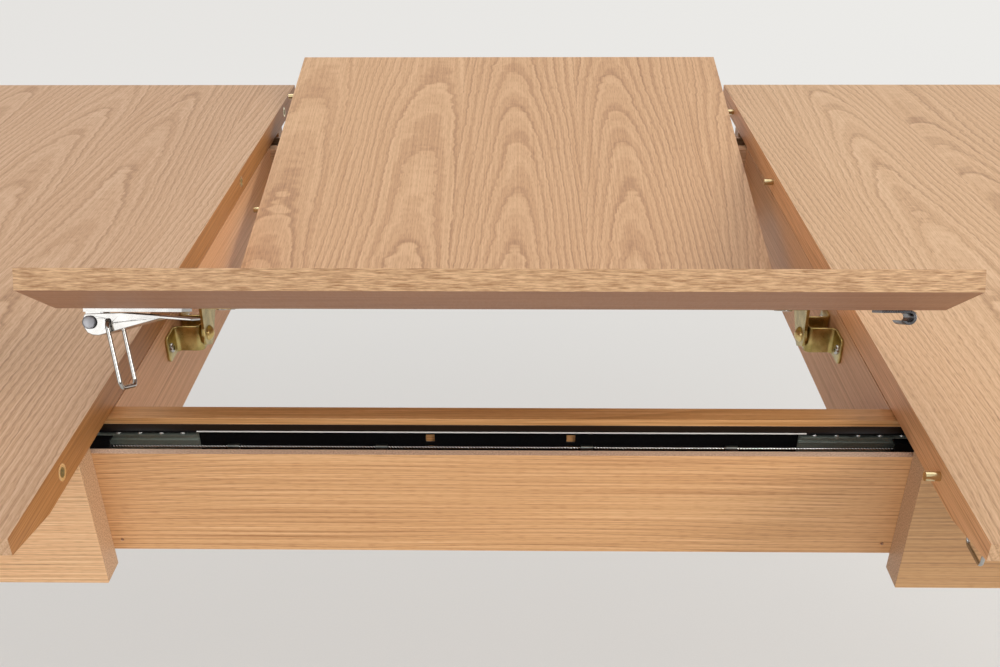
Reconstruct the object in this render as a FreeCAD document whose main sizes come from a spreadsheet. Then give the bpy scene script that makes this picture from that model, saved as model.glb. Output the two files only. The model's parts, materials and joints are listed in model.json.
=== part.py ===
import FreeCAD, Part
import Sketcher
import math
import os
import re

# Extending table with a self-storing butterfly leaf. Units mm, +Z up, X along the table, Y across it.
# The origin lies on the floor under the middle of the gap. The leaf is half unfolded, in a V.

doc = FreeCAD.newDocument("butterfly_leaf_table")
os.makedirs("parts", exist_ok=True)

sheet = doc.addObject("Spreadsheet::Sheet", "Sizes")

# ---------------------------------------------------------------- sizes
SIZES = {
    # table top
    "top_height": 750,
    "table_depth": 900,
    "half_length": 800,
    "open_gap": 528,
    "top_thick": 21,
    "edge_thick": 11.5,
    "bevel_width": 50,
    "leaf_length": 495,
    "fold_gap": 0.3,

    # aprons and legs; the drops are measured down from the top surface
    "apron_inset": 100.5,
    "apron_thick": 21,
    "apron_drop": 117,
    "leg_top": 60,
    "leg_foot": 38,
    "brace_thick": 20,
    "brace_reach": 92,
    "brace_drop": 79,

    # centre frame
    "run_clear": 0.3,
    "filler_thick": 5.5,
    "filler_drop": 26,
    "filler_bottom": 104.5,
    "filler_overrun": 11,
    "nail_inset": 6.3,
    "nail_rise": 8,
    "board_thick": 15,
    "trough_wide": 31.7,
    "board_drop": 22,
    "rear_board_drop": 24,
    "board_bottom": 101,
    "board_reach": 455,
    "rail_thick": 18,
    "floor_thick": 6,

    # ball-bearing slides
    "channel_drop": 26.5,
    "channel_high": 46,
    "channel_deep": 9,
    "channel_reach": 450,
    "sheet_steel": 1.5,
    "ball_dia": 3.6,
    "ball_pitch": 14.5,
    "ball_margin": 9.4,
    "cage_sheet": 0.6,
    "cage_inner": 200,
    "cage_lag": 4,
    "cage_long": 190,
    "member_inner": 262,
    "member_long": 615,
    "member_deep": 8,
    "member_out": 12,
    "spacer_start": 460,
    "spacer_long": 160,
    "spacer_high": 45,
    "wire_hole": 6,
    "wire_hole_x": 47.5,

    # wire rope that makes both halves move together
    "rope_dia": 2,
    "rope_in": 5,
    "rope_top_drop": 40,
    "ferrule_first": 180,
    "ferrule_second": 80,
    "ferrule_third": 58,
    "ferrule_fourth": 155,
    "ferrule_long": 8,
    "pulley_inset": 13,
    "pulley_thick": 4,
    "clamp_long": 10,

    # leaf: tilt of both halves, pivot of the near half, fold
    "near_tilt": 25.77,
    "far_tilt": 12.03,
    "pivot_offset": 127.4,
    "pivot_drop": 42.6,
    "fold_lift": 0.3,
    "cup_dia": 14,
    "cup_bore": 12,
    "cup_deep": 24,
    "cup_bore_deep": 9,
    "link_reach": 7,
    "link_drop": 10,
    "link_thick": 5,
    "link_high": 7,
    "hinge_x": 175,

    # pivot brackets, arms and rivets
    "bracket_sheet": 2,
    "bracket_high": 21.5,
    "bracket_half": 11,
    "bracket_foot": 22,
    "bracket_bend": 3,
    "screw_inset": 7,
    "arm_inset": 9.6,
    "arm_sheet": 2.5,
    "arm_top_half": 21,
    "arm_half": 14.5,
    "arm_below": 9.5,
    "arm_flange": 24,
    "rivet_shank": 6,
    "rivet_dome": 12.5,
    "rivet_proud": 3.3,
    "pivot_slit": 0.4,

    # dowel pins and their sockets
    "pin_dia": 6,
    "pin_out": 9,
    "pin_in": 20,
    "pin_drop": 10.5,
    "pin_inset": 78,
    "pin_mid_y": 135,
    "socket_dia": 11,
    "socket_deep": 12,

    # toggle latches
    "latch_edge": 67,
    "latch_inset": 12.8,
    "right_latch_edge": 74,
    "right_latch_inset": 18,
    "latch_long": 56,
    "latch_wide": 20,
    "latch_sheet": 2,
    "ear_sheet": 1.2,
    "ear_y": 6.3,
    "rivet_x": 3.2,
    "rivet_z": 7.9,
    "head_proud": 1.2,
    "lever_wide": 18,
    "lever_deep": 15.3,
    "lever_long": 61,
    "bail_x": 13.7,
    "bail_z": 7.3,
    "bail_wire": 2.5,
    "bail_drop": 38.5,
    "bail_play": 0.4,
    "bail_hook": 6,
    "bail_bend": 4,
    "bail_lean": 10.5,
    "keeper_long": 20,
    "keeper_wide": 18,
    "keeper_deep": 8.4,
    "keeper_reach": 30,
    "keeper_sheet": 1.7,

    # screws
    "screw_head": 7,
    "screw_shank": 3.5,
    "screw_long": 13,
}

for row_number, (name, value) in enumerate(SIZES.items(), 1):
    sheet.set("A" + str(row_number), name)
    sheet.set("B" + str(row_number), str(value))
    sheet.setAlias("B" + str(row_number), name)
doc.recompute()


# ---------------------------------------------------------------- helpers
def formula(text):
    """Point every name of the sheet in the text at the sheet."""
    return re.sub(r"[a-z][a-z_]*", lambda m: "Sizes." + m[0] if m[0] in SIZES else m[0], text)


def bind(obj, prop, text):
    obj.setExpression(prop, formula(text))


def put(obj, x="0", y="0", z="0"):
    bind(obj, "Placement.Base.x", x)
    bind(obj, "Placement.Base.y", y)
    bind(obj, "Placement.Base.z", z)


def turn(obj, axis, angle):
    obj.Placement.Rotation = FreeCAD.Rotation(FreeCAD.Vector(*axis), angle)


def flip(side, low, high):
    """The span low..high on the positive side, or its mirror image."""
    if side > 0:
        return low, high
    return "-(" + high + ")", "-(" + low + ")"


def box(label, x, y, z):
    """Block between two formulas on each axis."""
    obj = doc.addObject("Part::Box", label)
    for prop, span in (("Length", x), ("Width", y), ("Height", z)):
        bind(obj, prop, "(" + span[1] + ") - (" + span[0] + ")")
    put(obj, x[0], y[0], z[0])
    return obj


def rod(label, axis, radius, start, end, a, b):
    """Cylinder along axis X, Y or Z from start to end; a and b are its other two coordinates."""
    obj = doc.addObject("Part::Cylinder", label)
    bind(obj, "Radius", radius)
    bind(obj, "Height", "(" + end + ") - (" + start + ")")
    if axis == "X":
        turn(obj, (0, 1, 0), 90)
        put(obj, start, a, b)
    elif axis == "Y":
        turn(obj, (1, 0, 0), -90)
        put(obj, a, start, b)
    else:
        put(obj, a, b, start)
    return obj


def group(label, members):
    obj = doc.addObject("Part::Compound", label)
    obj.Links = members
    return obj


def fuse(label, members):
    obj = doc.addObject("Part::MultiFuse", label)
    obj.Shapes = members
    return obj


def cut(label, base, tool):
    obj = doc.addObject("Part::Cut", label)
    obj.Base = base
    obj.Tool = tool
    return obj


def new_body(label):
    return doc.addObject("PartDesign::Body", label)


def sketch(body, name, plane, points=(), circles=(), offset=None):
    """Closed polygon and circles whose every coordinate is a formula, on an origin plane of the body."""
    sk = body.newObject("Sketcher::SketchObject", name)
    support = [o for o in body.Origin.OriginFeatures if o.Role == plane][0]
    sk.AttachmentSupport = (support, [""])
    sk.MapMode = "FlatFace"
    if offset:
        bind(sk, "AttachmentOffset.Base.z", offset)
    V = FreeCAD.Vector
    count = len(points)
    for i in range(count):
        a = 2 * math.pi * i / count
        b = 2 * math.pi * (i + 1) / count
        line = Part.LineSegment(V(math.cos(a), math.sin(a), 0), V(math.cos(b), math.sin(b), 0))
        sk.addGeometry(line, False)
    for i in range(count):
        sk.addConstraint(Sketcher.Constraint("Coincident", i, 2, (i + 1) % count, 1))
    for i, (u, v) in enumerate(points):
        locate(sk, i, 1, u, v)
    for j, (u, v, radius) in enumerate(circles):
        sk.addGeometry(Part.Circle(V(j + 1, 0, 0), V(0, 0, 1), 0.4), False)
        locate(sk, count + j, 3, u, v)
        index = sk.addConstraint(Sketcher.Constraint("Radius", count + j, 0.4))
        bind(sk, "Constraints[" + str(index) + "]", radius)
    return sk


def locate(sk, geometry, point, u, v, start=(1, 1)):
    """Hold one point of the sketch at the coordinates u, v; start is where the solver begins."""
    for kind, text, value in (("DistanceX", u, start[0]), ("DistanceY", v, start[1])):
        index = sk.addConstraint(Sketcher.Constraint(kind, -1, 1, geometry, point, float(value)))
        bind(sk, "Constraints[" + str(index) + "]", text)


def pad(body, name, sk, length, middle=False, back=False):
    obj = body.newObject("PartDesign::Pad", name)
    obj.Profile = sk
    bind(obj, "Length", length)
    obj.Midplane = middle
    obj.Reversed = back
    return obj


def pocket(body, name, sk, length=None, middle=False, back=False):
    """Pocket of a depth, or through the whole body."""
    obj = body.newObject("PartDesign::Pocket", name)
    obj.Profile = sk
    if length:
        bind(obj, "Length", length)
    else:
        obj.Type = 1
    obj.Midplane = middle
    obj.Reversed = back
    return obj


def row(body, feature, axis, length, count):
    """Repeat a feature against the direction of an origin axis of the body."""
    obj = body.newObject("PartDesign::LinearPattern", feature.Name + "_row")
    obj.Originals = [feature]
    obj.Direction = ([o for o in body.Origin.OriginFeatures if o.Role == axis][0], [""])
    obj.Reversed = True
    bind(obj, "Length", length)
    obj.Occurrences = count
    body.Tip = obj


# The leaf's pieces are drawn as if it lay flat: y from the fold, z from the top surface.
# Then they are turned with their half of the leaf.
NEAR_Y = "-pivot_offset + pivot_offset * cos(near_tilt) + pivot_drop * sin(near_tilt)"
NEAR_Z = "top_height - pivot_drop - pivot_offset * sin(near_tilt) + pivot_drop * cos(near_tilt)"
FAR_Y = NEAR_Y + " + fold_lift * (sin(near_tilt) + sin(far_tilt))"
FAR_Z = NEAR_Z + " + fold_lift * (cos(near_tilt) - cos(far_tilt))"


def seat(obj, where, x="0", y="0", z="0"):
    """Set a piece on the near half, the far half or under the fixed top at the flat position x, y, z."""
    if where == "near":
        turn(obj, (1, 0, 0), -1)
        bind(obj, "Placement.Rotation.Angle", "-near_tilt")
        base_y = NEAR_Y + " + (" + y + ") * cos(near_tilt) + (" + z + ") * sin(near_tilt)"
        base_z = NEAR_Z + " - (" + y + ") * sin(near_tilt) + (" + z + ") * cos(near_tilt)"
    elif where == "far":
        turn(obj, (1, 0, 0), 1)
        bind(obj, "Placement.Rotation.Angle", "far_tilt")
        base_y = FAR_Y + " + (" + y + ") * cos(far_tilt) - (" + z + ") * sin(far_tilt)"
        base_z = FAR_Z + " + (" + y + ") * sin(far_tilt) + (" + z + ") * cos(far_tilt)"
    else:
        base_y = y
        base_z = "top_height + (" + z + ")"
    put(obj, x, base_y, base_z)


def below(drop):
    """Height above the floor of a drop below the top surface."""
    return "top_height - (" + drop + ")"


APRON_OUT = "table_depth / 2 - apron_inset"
APRON_IN = APRON_OUT + " - apron_thick"
FILLER_OUT = APRON_IN + " - run_clear"
FILLER_IN = FILLER_OUT + " - filler_thick"
BOARD_OUT = FILLER_IN + " - trough_wide"
BOARD_IN = BOARD_OUT + " - board_thick"
GAP = "open_gap / 2"
PIN_Y = "(table_depth / 2 - pin_inset)"
END_OUT = GAP + " + half_length - apron_inset"
END_IN = END_OUT + " - apron_thick"
LEG_IN_X = END_OUT + " - leg_top"
LEG_IN_Y = APRON_OUT + " - leg_top"
ENDS = (("front", -1), ("rear", 1))
HALVES = (("left", -1), ("right", 1))


# ---------------------------------------------------------------- centre frame
def centre_frame():
    reach = GAP + " + filler_overrun"
    floors = []
    for name, side in ENDS:
        filler = box(name + "_filler_raw", ("-(" + reach + ")", reach), flip(side, FILLER_IN, FILLER_OUT),
                     (below("filler_bottom"), below("filler_drop")))
        holes = []
        for k, (end, way) in enumerate(HALVES):
            x = str(way) + " * (" + GAP + " - nail_inset)"
            holes.append(rod(name + "_nail_" + end, "Y", "1.2", *flip(side, FILLER_OUT + " - 3", FILLER_OUT + " + 1"),
                             x, below("filler_bottom - nail_rise")))
        cut(name + "_filler_board", filler, group(name + "_nails", holes))
        # the far half of the leaf leans over the rear board, which is lower by the play it needs
        drop = "board_drop" if side < 0 else "rear_board_drop"
        box(name + "_slide_board", ("-board_reach", "board_reach"), flip(side, BOARD_IN, BOARD_OUT),
            (below("board_bottom"), below(drop)))
        floors.append(box(name + "_trough_floor", ("-(" + reach + ")", reach), flip(side, BOARD_OUT, FILLER_IN),
                          (below("board_bottom"), below("board_bottom - floor_thick"))))
    group("trough_floors", floors)
    for name, side in HALVES:
        box(name + "_cross_rail", flip(side, GAP, GAP + " + rail_thick"), ("-(" + BOARD_IN + ")", BOARD_IN),
            (below("board_bottom"), below("board_drop")))


# ---------------------------------------------------------------- slides
# Section, from the slide board outward: channel, cage, wire rope, member. The member opens towards the board.
CAGE_GAP = "sheet_steel + 0.4"
FLANGE_MID = "channel_drop + sheet_steel + 0.5 + ball_dia / 2"
MEMBER_TOP = "channel_drop + sheet_steel + ball_dia + 1"
BALLS_PER_GROUP = 5


def c_profile(deep, top, bottom, sheet_name, web_at_board):
    """Corner points of a C section; the first coordinate runs outward from the slide board."""
    a, b = deep
    if web_at_board:
        inner = a + " + " + sheet_name
        return [(a, top), (b, top), (b, top + " - " + sheet_name), (inner, top + " - " + sheet_name),
                (inner, bottom + " + " + sheet_name), (b, bottom + " + " + sheet_name), (b, bottom), (a, bottom)]
    inner = b + " - " + sheet_name
    return [(a, top), (b, top), (b, bottom), (a, bottom), (a, bottom + " + " + sheet_name),
            (inner, bottom + " + " + sheet_name), (inner, top + " - " + sheet_name), (a, top + " - " + sheet_name)]


def slide_place(obj, side, x):
    """Put a slide piece against its board. Local y runs outward from the board, z from the top surface."""
    if side < 0:
        turn(obj, (0, 0, 1), 180)
        put(obj, x, "-(" + BOARD_OUT + ")", "top_height")
    else:
        put(obj, x, BOARD_OUT, "top_height")


def ball_rows(label, radius, low):
    """Upper and lower row of a cage, with one group of balls at each end."""
    balls = []
    for level in ("-(" + FLANGE_MID + ")", low + " - channel_drop + " + FLANGE_MID):
        for place in (-1, 1):
            for k in range(BALLS_PER_GROUP):
                ball = doc.addObject("Part::Sphere", label + "_one")
                bind(ball, "Radius", radius)
                put(ball, str(place) + " * (cage_long / 2 - ball_margin - " + str(k) + " * ball_pitch)",
                    "channel_deep / 2 + 1", level)
                balls.append(ball)
    return group(label, balls)


def slides():
    members = {"left": [], "right": []}
    spacers = {"left": [], "right": []}
    low = "-channel_drop - channel_high"
    for name, side in ENDS:
        channel = new_body(name + "_slide_channel")
        profile = c_profile(("0", "channel_deep"), "-channel_drop", low, "sheet_steel", True)
        pad(channel, name + "_channel_pad", sketch(channel, name + "_channel_section", "YZ_Plane", profile),
            "channel_reach * 2", middle=True)
        half = "wire_hole / 2"
        middle = "-channel_drop - 10"
        hole = []
        for u, v in ((-1, -1), (1, -1), (1, 1), (-1, 1)):
            hole.append(("wire_hole_x + " + str(u) + " * " + half, middle + " + " + str(v) + " * " + half))
        opening = pocket(channel, name + "_channel_hole", sketch(channel, name + "_hole_sketch", "XZ_Plane", hole),
                         middle=True)
        row(channel, opening, "X_Axis", "wire_hole_x * 2", 2)
        slide_place(channel, side, "0")

        for end, way in HALVES:
            member = new_body(end + "_" + name + "_member")
            members[end].append(member)
            profile = c_profile(("member_out - member_deep", "member_out"), "-(" + MEMBER_TOP + ")",
                                low + " + (" + MEMBER_TOP + ") - channel_drop", "sheet_steel", False)
            section = sketch(member, end + name + "_member_section", "YZ_Plane", profile)
            pad(member, end + name + "_member_pad", section, "member_long", middle=True)
            slide_place(member, side, str(way) + " * (member_inner + member_long / 2)")

            cage = new_body(end + name + "_cage_sheet")
            profile = c_profile((CAGE_GAP, "channel_deep - 0.4"), "-(" + FLANGE_MID + ") + cage_sheet / 2",
                                low + " - channel_drop + " + FLANGE_MID + " - cage_sheet / 2", "cage_sheet", True)
            section = sketch(cage, end + name + "_cage_section", "YZ_Plane", profile)
            pad(cage, end + name + "_cage_pad", section, "cage_long", middle=True)
            middle = str(way) + " * (cage_inner + cage_long / 2 + cage_lag * " + str((1 - way) // 2) + ")"
            slide_place(cage, side, middle)

            pockets = ball_rows(end + "_" + name + "_ball_pockets", "ball_dia / 2 + 0.05", low)
            slide_place(pockets, side, middle)
            balls = ball_rows(end + "_" + name + "_balls", "ball_dia / 2", low)
            slide_place(balls, side, middle)
            group(end + "_" + name + "_ball_cage", [cut(end + "_" + name + "_cage", cage, pockets), balls])

            block = box(end + "_" + name + "_spacer",
                        flip(way, GAP + " + spacer_start", GAP + " + spacer_start + spacer_long"),
                        flip(side, BOARD_OUT + " + member_out", APRON_IN),
                        (below("channel_drop + channel_high / 2 + spacer_high / 2"),
                         below("channel_drop + channel_high / 2 - spacer_high / 2")))
            spacers[end].append(block)
    for end, way in HALVES:
        group(end + "_slide_members", members[end])
        group(end + "_spacer_blocks", spacers[end])


# ---------------------------------------------------------------- wire rope and its pulleys
ROPE_OUT = BOARD_OUT + " + member_out - rope_in"
PULLEY_X = "(channel_reach - pulley_inset)"
ROPE_MID = "(channel_drop + channel_high / 2)"


def rope_drive():
    ropes = []
    pulleys = []
    ferrules = []
    clamps = {"left": [], "right": []}
    for name, side in ENDS:
        rope = new_body(name + "_wire_rope")
        ropes.append(rope)
        radius = "(" + ROPE_MID + " - rope_top_drop)"
        path = rope.newObject("Sketcher::SketchObject", name + "_rope_path")
        path.AttachmentSupport = ([o for o in rope.Origin.OriginFeatures if o.Role == "XZ_Plane"][0], [""])
        path.MapMode = "FlatFace"
        V = FreeCAD.Vector
        path.addGeometry(Part.LineSegment(V(-400, 9, 0), V(400, 9, 0)), False)
        path.addGeometry(Part.ArcOfCircle(Part.Circle(V(400, 0, 0), V(0, 0, 1), 9), -math.pi / 2, math.pi / 2), False)
        path.addGeometry(Part.LineSegment(V(400, -9, 0), V(-400, -9, 0)), False)
        path.addGeometry(Part.ArcOfCircle(Part.Circle(V(-400, 0, 0), V(0, 0, 1), 9), math.pi / 2, 1.5 * math.pi), False)
        for first, first_end, second, second_end in ((0, 2, 1, 2), (1, 1, 2, 1), (2, 2, 3, 2), (3, 1, 0, 1)):
            path.addConstraint(Sketcher.Constraint("Coincident", first, first_end, second, second_end))
        locate(path, 0, 1, "-" + PULLEY_X, radius, (-400, 9))
        locate(path, 0, 2, PULLEY_X, radius, (400, 9))
        locate(path, 2, 1, PULLEY_X, "-" + radius, (400, -9))
        locate(path, 2, 2, "-" + PULLEY_X, "-" + radius, (-400, -9))
        for arc, centre, start in ((1, PULLEY_X, 400.0), (3, "-" + PULLEY_X, -400.0)):
            index = path.addConstraint(Sketcher.Constraint("DistanceX", -1, 1, arc, 3, start))
            bind(path, "Constraints[" + str(index) + "]", centre)
        section = sketch(rope, name + "_rope_section", "YZ_Plane", circles=[("0", radius, "rope_dia / 2")])
        pipe = rope.newObject("PartDesign::AdditivePipe", name + "_rope_pipe")
        pipe.Profile = section
        pipe.Spine = path
        put(rope, "0", str(side) + " * (" + ROPE_OUT + ")", below(ROPE_MID))

        for end, way in HALVES:
            x = str(way) + " * " + PULLEY_X
            wheel = rod(name + end + "_wheel", "Y", radius + " - rope_dia / 2",
                        *flip(side, ROPE_OUT + " - pulley_thick / 2", ROPE_OUT + " + pulley_thick / 2 - 0.2"),
                        x, below(ROPE_MID))
            axle = rod(name + end + "_axle", "Y", "3", *flip(side, BOARD_OUT + " + sheet_steel", ROPE_OUT),
                       x, below(ROPE_MID))
            pulleys.append(fuse(name + end + "_pulley", [wheel, axle]))
        for place in ("-ferrule_first", "-ferrule_second", "ferrule_third", "ferrule_fourth"):
            sleeve = rod(name + "_sleeve", "X", "rope_dia", place + " - ferrule_long / 2",
                         place + " + ferrule_long / 2", str(side) + " * (" + ROPE_OUT + ")", below("rope_top_drop"))
            bore = rod(name + "_sleeve_bore", "X", "rope_dia / 2", place + " - ferrule_long",
                       place + " + ferrule_long", str(side) + " * (" + ROPE_OUT + ")", below("rope_top_drop"))
            ferrules.append(cut(name + "_ferrule", sleeve, bore))

        # the left half grips the upper run and the right half the lower run
        for end, way in HALVES:
            level = below("rope_top_drop") if way < 0 else below(ROPE_MID + " * 2 - rope_top_drop")
            span = flip(way, "member_inner + 12", "member_inner + 12 + clamp_long")
            block = box(end + name + "_clamp_block", span,
                        flip(side, ROPE_OUT + " - 2", BOARD_OUT + " + member_out - sheet_steel"),
                        (level + " - 3", level + " + 3"))
            bore = rod(end + name + "_clamp_bore", "X", "rope_dia / 2 + run_clear", span[0] + " - 1",
                       span[1] + " + 1", str(side) + " * (" + ROPE_OUT + ")", level)
            clamps[end].append(cut(end + name + "_clamp", block, bore))
    group("wire_ropes", ropes)
    group("rope_pulleys", pulleys)
    group("rope_ferrules", ferrules)
    for end, way in HALVES:
        group(end + "_rope_clamps", clamps[end])


# ---------------------------------------------------------------- table halves
def top_half(name, way, hole, depth):
    """Half of the top: bevelled under the long edges and the outer end, bored along its inner edge."""
    top = new_body(name + "_top")
    edge = "table_depth / 2"
    points = [("-(" + edge + ")", "0"), (edge, "0"), (edge, "-edge_thick"), (edge + " - bevel_width", "-top_thick"),
              ("-(" + edge + " - bevel_width)", "-top_thick"), ("-(" + edge + ")", "-edge_thick")]
    pad(top, name + "_top_pad", sketch(top, name + "_top_section", "YZ_Plane", points), "half_length",
        back=way < 0)
    circles = []
    for y in ("-" + PIN_Y, "pin_mid_y", PIN_Y):
        circles.append((y, "-pin_drop", hole))
    pocket(top, name + "_bores", sketch(top, name + "_bore_sketch", "YZ_Plane", circles=circles), depth,
           back=way > 0)
    end = "half_length"
    sign = "" if way > 0 else "-"
    wedge = [(sign + "(" + end + " + 1)", "-edge_thick"), (sign + end, "-edge_thick"),
             (sign + "(" + end + " - bevel_width)", "-top_thick"), (sign + "(" + end + " + 1)", "-top_thick - 1")]
    wedge.insert(3, (sign + "(" + end + " - bevel_width)", "-top_thick - 1"))
    pocket(top, name + "_end_bevel", sketch(top, name + "_end_sketch", "XZ_Plane", wedge), middle=True)
    put(top, str(way) + " * " + GAP, "0", "top_height")


def leg(name, way, side):
    """Square leg that tapers on its two inner faces."""
    post = new_body(name)
    x = [str(way) + " * (" + END_OUT + " - " + inset + ")" for inset in ("0", "leg_top", "leg_foot")]
    y = [str(side) + " * (" + APRON_OUT + " - " + inset + ")" for inset in ("0", "leg_top", "leg_foot")]
    foot = sketch(post, name + "_foot", "XY_Plane", [(x[0], y[0]), (x[2], y[0]), (x[2], y[2]), (x[0], y[2])])
    knee = sketch(post, name + "_knee", "XY_Plane", [(x[0], y[0]), (x[1], y[0]), (x[1], y[1]), (x[0], y[1])],
                  offset="top_height - apron_drop")
    taper = post.newObject("PartDesign::AdditiveLoft", name + "_taper")
    taper.Profile = foot
    taper.Sections = [knee]
    head = sketch(post, name + "_head", "XY_Plane", [(x[0], y[0]), (x[1], y[0]), (x[1], y[1]), (x[0], y[1])],
                  offset="top_height - apron_drop")
    pad(post, name + "_block", head, "apron_drop - top_thick")


def table_half(name, way):
    braces = []
    for place, side in ENDS:
        box(name + "_" + place + "_apron", flip(way, GAP, LEG_IN_X), flip(side, APRON_IN, APRON_OUT),
            (below("apron_drop"), below("top_thick")))
        leg(name + "_" + place + "_leg", way, side)
        brace = new_body(name + "_" + place + "_brace")
        braces.append(brace)
        a = END_IN + " - brace_reach - brace_thick"
        b = APRON_IN + " - brace_reach - brace_thick"
        outline = [(a, APRON_IN), (a + " + brace_thick * 1.4", APRON_IN), (END_IN, b + " + brace_thick * 1.4"),
                   (END_IN, b)]
        outline = [(str(way) + " * (" + u + ")", str(side) + " * (" + v + ")") for u, v in outline]
        pad(brace, name + place + "_brace_pad", sketch(brace, name + place + "_brace_plan", "XY_Plane", outline),
            "apron_drop - brace_drop - 2")
        put(brace, "0", "0", below("apron_drop - 2"))
    group(name + "_corner_braces", braces)
    box(name + "_end_apron", flip(way, END_IN, END_OUT), ("-(" + LEG_IN_Y + ")", LEG_IN_Y),
        (below("apron_drop"), below("top_thick")))


# ---------------------------------------------------------------- dowel pins and sockets
def pins(label, where, x, ys):
    """Brass dowels that stick out towards -X from the plane x."""
    rods = []
    for y in ys:
        rods.append(rod(label + "_rod", "X", "pin_dia / 2", x + " - pin_out", x + " + pin_in", y, "-pin_drop"))
    seat(group(label, rods), where)


def sockets(label, where, x, way, ys):
    """Brass tubes let into the bored edge at the plane x."""
    tubes = []
    for y in ys:
        span = (x, x + " + socket_deep") if way > 0 else (x + " - socket_deep", x)
        outer = rod(label + "_outer", "X", "socket_dia / 2", span[0], span[1], y, "-pin_drop")
        inner = rod(label + "_inner", "X", "pin_dia / 2 + run_clear", span[0] + " - 1", span[1] + " + 1", y,
                    "-pin_drop")
        tubes.append(cut(label + "_tube", outer, inner))
    seat(group(label, tubes), where)


# ---------------------------------------------------------------- leaf
LEAF_END = "leaf_length / 2"


def leaf_half(name, side, ys):
    half = new_body(name + "_leaf_half")
    edge = "table_depth / 2"
    outline = [("fold_gap / 2", "0"), (edge, "0"), (edge, "-edge_thick"), (edge + " - bevel_width", "-top_thick"),
               ("fold_gap / 2", "-top_thick")]
    outline = [(str(side) + " * (" + u + ")", v) for u, v in outline]
    pad(half, name + "_leaf_pad", sketch(half, name + "_leaf_section", "YZ_Plane", outline), "leaf_length",
        middle=True)
    for end, way, radius, depth in (("left", -1, "pin_dia / 2", "pin_in"), ("right", 1, "socket_dia / 2",
                                                                            "socket_deep")):
        circles = [(y, "-pin_drop", radius) for y in ys]
        drilled = sketch(half, name + end + "_bore_sketch", "YZ_Plane", circles=circles,
                         offset=str(way) + " * " + LEAF_END)
        pocket(half, name + end + "_bores", drilled, depth, back=way < 0)
    circles = [(str(k) + " * hinge_x", "-link_drop", "cup_dia / 2") for k in (-1, 0, 1)]
    drilled = sketch(half, name + "_cup_sketch", "XZ_Plane", circles=circles,
                     offset=str(-side) + " * fold_gap / 2")
    pocket(half, name + "_cup_bores", drilled, "cup_deep", back=side < 0)
    seat(half, name)
    pins(name + "_leaf_pins", name, "-" + LEAF_END, ys)
    sockets(name + "_leaf_sockets", name, LEAF_END, -1, ys)
    cups = []
    for k in (-1, 0, 1):
        x = str(k) + " * hinge_x"
        shell = rod(name + "_cup_shell", "Y", "cup_dia / 2", *flip(side, "fold_gap / 2", "fold_gap / 2 + cup_deep"),
                    x, "-link_drop")
        bore = rod(name + "_cup_hollow", "Y", "cup_bore / 2",
                   *flip(side, "fold_gap / 2 - 1", "fold_gap / 2 + cup_bore_deep"), x, "-link_drop")
        cups.append(cut(name + "_cup", shell, bore))
    seat(group(name + "_hinge_cups", cups), name)


def fold_links():
    """Short links that bridge the fold and turn half as far as the far half."""
    links = []
    for k in (-1, 0, 1):
        x = str(k) + " * hinge_x"
        links.append(box("fold_link", (x + " - link_thick / 2", x + " + link_thick / 2"),
                         ("-link_reach", "link_reach"),
                         ("-link_drop - link_high / 2", "-link_drop + link_high / 2")))
    obj = group("fold_hinge_links", links)
    lean = "(far_tilt - near_tilt) / 2"
    turn(obj, (1, 0, 0), 1)
    bind(obj, "Placement.Rotation.Angle", lean)
    put(obj, "0", NEAR_Y + " + fold_lift * (sin(near_tilt) + sin(" + lean + "))",
        NEAR_Z + " + fold_lift * (cos(near_tilt) - cos(" + lean + "))")


# ---------------------------------------------------------------- pivot of the leaf
ARM_IN = LEAF_END + " - arm_inset"
WEB_OUT = ARM_IN + " + arm_sheet + pivot_slit"


def round_bends(body, strip, name):
    """Round the outside of the hat's four bends: two where its feet turn out, two at its crown."""
    doc.recompute()
    upright = {}
    for i, edge in enumerate(strip.Shape.Edges):
        low, high = edge.Vertexes[0].Point, edge.Vertexes[-1].Point
        if abs(high.z - low.z) > (high - low).Length - 0.001:
            upright["Edge" + str(i + 1)] = (round(abs(low.x), 3), round(abs(low.y), 3))
    reach = sorted({x for x, y in upright.values()})
    spread = sorted({y for x, y in upright.values()})
    outside = ((reach[0], spread[0]), (reach[-1], spread[1]))
    bends = body.newObject("PartDesign::Fillet", name + "_bracket_bends")
    bends.Base = (strip, [edge for edge, place in upright.items() if place in outside])
    bind(bends, "Radius", "bracket_bend")


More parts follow.
